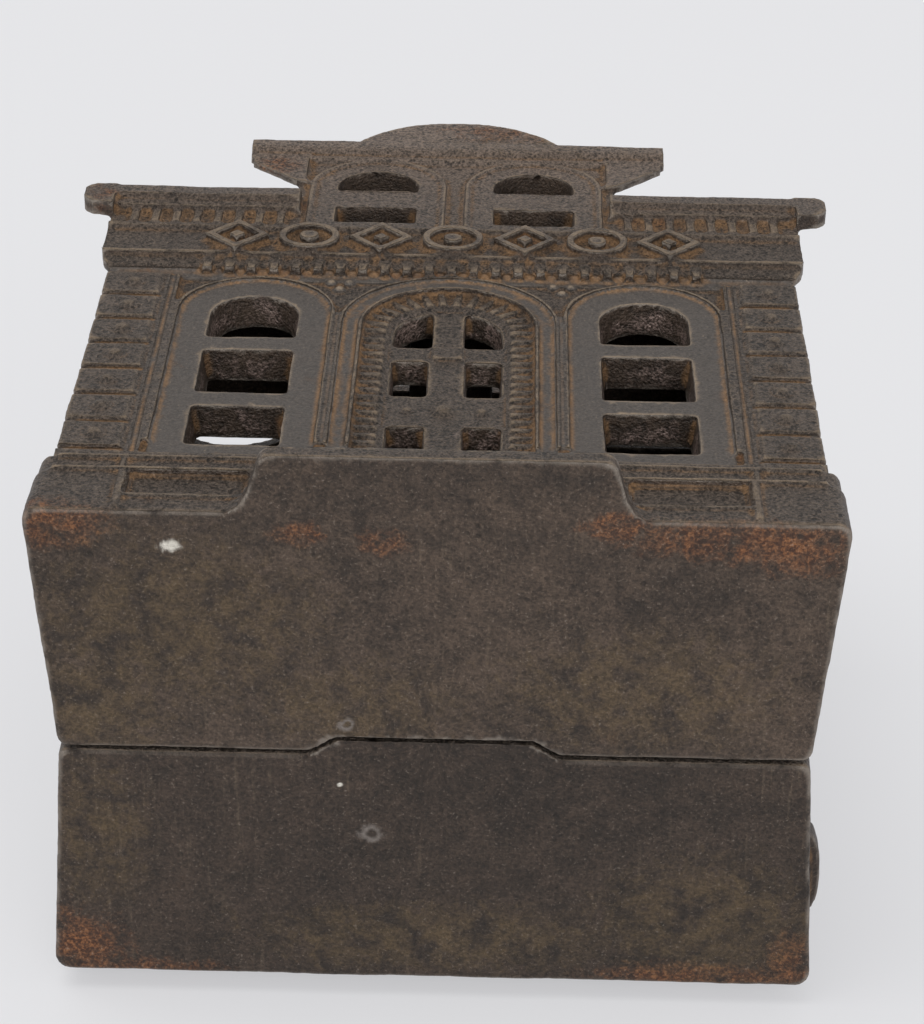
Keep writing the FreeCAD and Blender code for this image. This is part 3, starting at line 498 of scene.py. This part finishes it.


# The street windows, the upper room's windows and the lights of the door, where the drafted sides
# get a painted glint.
openings = [(side * 21.3, -20.6, z, 5.9, 2.0, high)
            for side in (-1, 1) for z, high in ((23.1, 5.4), (35.8, 6.0), (49.5, 7.0))]
openings += [(side * 9.15, -20.6, z, 5.4, 2.0, high)
             for side in (-1, 1) for z, high in ((74.4, 3.4), (84.4, 5.0))]
openings += [(side * 4.0, -20.4, z, 2.8, 2.0, high)
             for side in (-1, 1) for z, high in ((22.2, 4.2), (36.6, 5.4), (48.0, 5.4))]
front_iron = cast_iron(
    "front_iron", (0.044, 0.031, 0.023, 1), (0.122, 0.084, 0.060, 1), 0.42, 0.85,
    rust_places=[(29, -23.2, 0, 12, 2.8, 2), (35, -22.2, 0, 5, 3.2, 2),
                 (-37.5, -23.6, 0, 6, 3.4, 3), (-5, -22.0, 0, 2.8, 1.8, 1),
                 (-13, -23.0, 0, 3, 1.5, 1), (6, -24, 100, 9, 6, 3.4),
                 (-21.5, -25, 88, 3.4, 5, 3), (-41, -24, 76, 2, 4, 3), (17, -24.5, 0, 4, 2, 1)],
    ochre_places=[(-25, -13, 0, 17, 11, 2), (-33, -2, 0, 8, 12, 2), (12, -23, 96, 20, 6, 5),
                  (20, -6, 0, 16, 8, 2), (-8, -4, 0, 12, 6, 2)],
    glint_places=openings, fleck=(-25.7, -21.3, 0, 1.2, 0.9, 1),
    ring=(-8.6, -1.5, 0, 1.0, 0.8, 1))
front = pour("front_half", "front_casting", FRONT_VOXEL)
front.data.materials.append(front_iron)
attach(front, "front_casting")
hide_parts("front_half")


# ---- Rear casting ------------------------------------------------------------
# The other half of the floor, walls and roofs, with the plain back. It comes
# from the same foundry but has kept more of its black oxide, and its tongue
# fits the notch in the front casting's floor.
REAR_VOXEL = 0.30 * MM

rear_iron = cast_iron(
    "rear_iron", (0.032, 0.0225, 0.0165, 1), (0.080, 0.054, 0.039, 1), 0.36, 0.6,
    rust_places=[(-36.5, 26.0, 0, 5.5, 5, 3), (27, 28.4, 0, 11, 2.2, 2), (-29, 29.2, 1, 9, 2, 2),
                 (37, 26, 0, 3, 4, 3)],
    ochre_places=[(-34, 12, 0, 6, 10, 2), (28, 21, 0, 14, 9, 2), (0, 24, 0, 22, 5, 2)],
    # The back has one painted glint high up on its wall.
    # The fleck on the back is a painted glint on a casting bubble.
    glint_places=[(0, 26.5, 66, 6, 4, 6)], fleck=(-9.4, 5.6, 0, 0.35, 0.3, 1),
    ring=(-6.1, 11.4, 0, 1.5, 1.3, 1))
rear = pour("rear_half", "rear_casting", REAR_VOXEL)
rear.data.materials.append(rear_iron)
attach(rear, "rear_casting")
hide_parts("rear_half")


# ---- Assembly screw -----------------------------------------------------------
# A slotted round-head machine screw, turned from mild steel bar, that runs from
# the back through the rear casting into the tapped post of the front one. Its
# thread was cut with a die over the last part of the shank.
THREAD_PITCH = 0.794 * MM      # 32 turns to the inch
THREAD_DEPTH = 0.36 * MM
THREAD_SLOPE = 1.6             # flanks steep enough to leave a crest and a root
THREAD_CREST = 0.2
THREAD_LENGTH = 21 * MM
THREAD_FOOT = 1.83 * MM        # what lies nearer to the axis is the flat tip
SCREW_VOXEL = 0.12 * MM

screw_low, screw_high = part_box("assembly_screw")
screw_axis = (screw_low.z + screw_high.z) / 2
screw = new_skin("assembly_screw", "assembly_screw",
                 SCREW_VOXEL)

# The thread is a groove that winds round the shank, pressed towards its axis.
points = positions(screw.data)
across = points[:, 0]
along = points[:, 1] - screw_low.y
up = points[:, 2] - screw_axis
radius = numpy.hypot(across, up)
turns = numpy.mod(along / THREAD_PITCH + numpy.arctan2(up, across) / (2 * math.pi), 1)
profile = THREAD_SLOPE * numpy.abs(2 * turns - 1) - THREAD_CREST
groove = THREAD_DEPTH * numpy.clip(profile, 0, 1)
on_thread = (radius > THREAD_FOOT) & (along < THREAD_LENGTH)
shrink = numpy.where(on_thread, 1 - groove / numpy.maximum(radius, MM), 1)
points[:, 0] = across * shrink
points[:, 2] = up * shrink + screw_axis
screw.data.vertices.foreach_set("co", points.ravel())
screw.data.update()
shade_smooth(screw)

screw_steel = bpy.data.materials.new("screw_steel")
screw_steel.use_nodes = True
tree = screw_steel.node_tree
shader = tree.nodes["Principled BSDF"]
skin = place_group(tree, cast_skin, -900, 0)
dull = between(tree, skin.outputs["Mottle"], -600, 0, 0.42, 0.62)
steel_tone = tint(tree, -300, 200, dull, (0.30, 0.28, 0.26, 1), (0.115, 0.075, 0.05, 1))
tree.links.new(steel_tone, shader.inputs["Base Color"])
rough = combine(tree, "MULTIPLY_ADD", -300, 0, dull, 0.3, 0.38)
tree.links.new(rough, shader.inputs["Roughness"])
shader.inputs["Metallic"].default_value = 0.85
screw.data.materials.append(screw_steel)
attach(screw, "screw")
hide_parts("assembly_screw")


# ---- Floor, light and camera ----------------------------------------------------
# The bank lies on its back on a pale floor, so in this upright frame the floor
# is the plane that its back touches, and it is seen from below and in front.
# The floor is one-sided, so that it hides nothing from behind, and it casts no
# shadow on the bank.
FLOOR_GAP = 0.2 * MM
FLOOR_SIZE = 4.0
FLOOR_PAINT = (0.30, 0.30, 0.30, 1)
FLOOR_GLOW = (0.475, 0.475, 0.49, 1)

floor_material = bpy.data.materials.new("floor")
floor_material.use_nodes = True
tree = floor_material.node_tree
shader = tree.nodes["Principled BSDF"]
shader.inputs["Base Color"].default_value = FLOOR_PAINT
shader.inputs["Roughness"].default_value = 0.7
shader.inputs["Emission Color"].default_value = FLOOR_GLOW
shader.inputs["Emission Strength"].default_value = 1.0
clear = add(tree, "ShaderNodeBsdfTransparent", 0, -200)
behind = add(tree, "ShaderNodeNewGeometry", -400, 300).outputs["Backfacing"]
shadow = add(tree, "ShaderNodeLightPath", -400, 0).outputs["Is Shadow Ray"]
choice = add(tree, "ShaderNodeMixShader", 300, 100)
tree.links.new(combine(tree, "MAXIMUM", -100, 200, behind, shadow), choice.inputs[0])
tree.links.new(shader.outputs[0], choice.inputs[1])
tree.links.new(clear.outputs[0], choice.inputs[2])
tree.links.new(choice.outputs[0], tree.nodes["Material Output"].inputs["Surface"])

bpy.ops.mesh.primitive_plane_add(size=FLOOR_SIZE, location=(0, cad_high.y + FLOOR_GAP, 0),
                                 rotation=(math.radians(90), 0, 0))
floor = bpy.context.object
floor.name = "floor"
floor.data.materials.append(floor_material)
bpy.ops.object.transform_apply(location=True, rotation=True, scale=True)
# The rear casting stays lying on the floor when the front one is lifted off it.
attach(floor, "rear_casting")

world = bpy.data.worlds.new("pale room")
bpy.context.scene.world = world
world.use_nodes = True
sky = world.node_tree.nodes["Background"]
sky.inputs["Color"].default_value = (0.97, 0.98, 1.0, 1)
sky.inputs["Strength"].default_value = 0.62


def softbox(name, offset, size, power):
    """A square soft light, turned to face the middle of the bank."""
    light = bpy.data.lights.new(name, "AREA")
    light.size = size
    light.energy = power
    lamp = bpy.data.objects.new(name, light)
    middle = (cad_low + cad_high) / 2
    lamp.location = middle + mathutils.Vector(offset)
    toward = middle - lamp.location
    lamp.rotation_mode = "QUATERNION"
    lamp.rotation_quaternion = toward.to_track_quat("-Z", "Y")
    bpy.context.scene.collection.objects.link(lamp)


softbox("key above", (-0.35, -1.40, -0.10), 0.9, 7.5)
softbox("fill from the camera side", (0.30, -0.55, -1.05), 0.7, 4.0)

CAMERA_BELOW = 265 * MM        # under the base
CAMERA_BEFORE = 138.1 * MM     # in front of the steps
CAMERA_RIGHT = 6 * MM
CAMERA_ROLL = math.radians(2.5)
CAMERA_LENS = 111.4
AIM_RIGHT = 2 * MM
AIM_BEHIND = 22 * MM           # behind the front of the steps
AIM_ABOVE = 30 * MM            # above the underside

camera_data = bpy.data.cameras.new("camera")
camera_data.lens = CAMERA_LENS
camera_data.clip_start = 0.01
camera_data.clip_end = 20
camera = bpy.data.objects.new("camera", camera_data)
bpy.context.scene.collection.objects.link(camera)
stand = mathutils.Vector((CAMERA_RIGHT, cad_low.y - CAMERA_BEFORE, cad_low.z - CAMERA_BELOW))
aim = mathutils.Vector((AIM_RIGHT, cad_low.y + AIM_BEHIND, AIM_ABOVE))
camera.location = stand
camera.rotation_mode = "QUATERNION"
level = (aim - stand).to_track_quat("-Z", "Y")
camera.rotation_quaternion = level @ mathutils.Quaternion((0, 0, 1), CAMERA_ROLL)
bpy.context.scene.camera = camera
bpy.context.scene.view_settings.view_transform = "Standard"
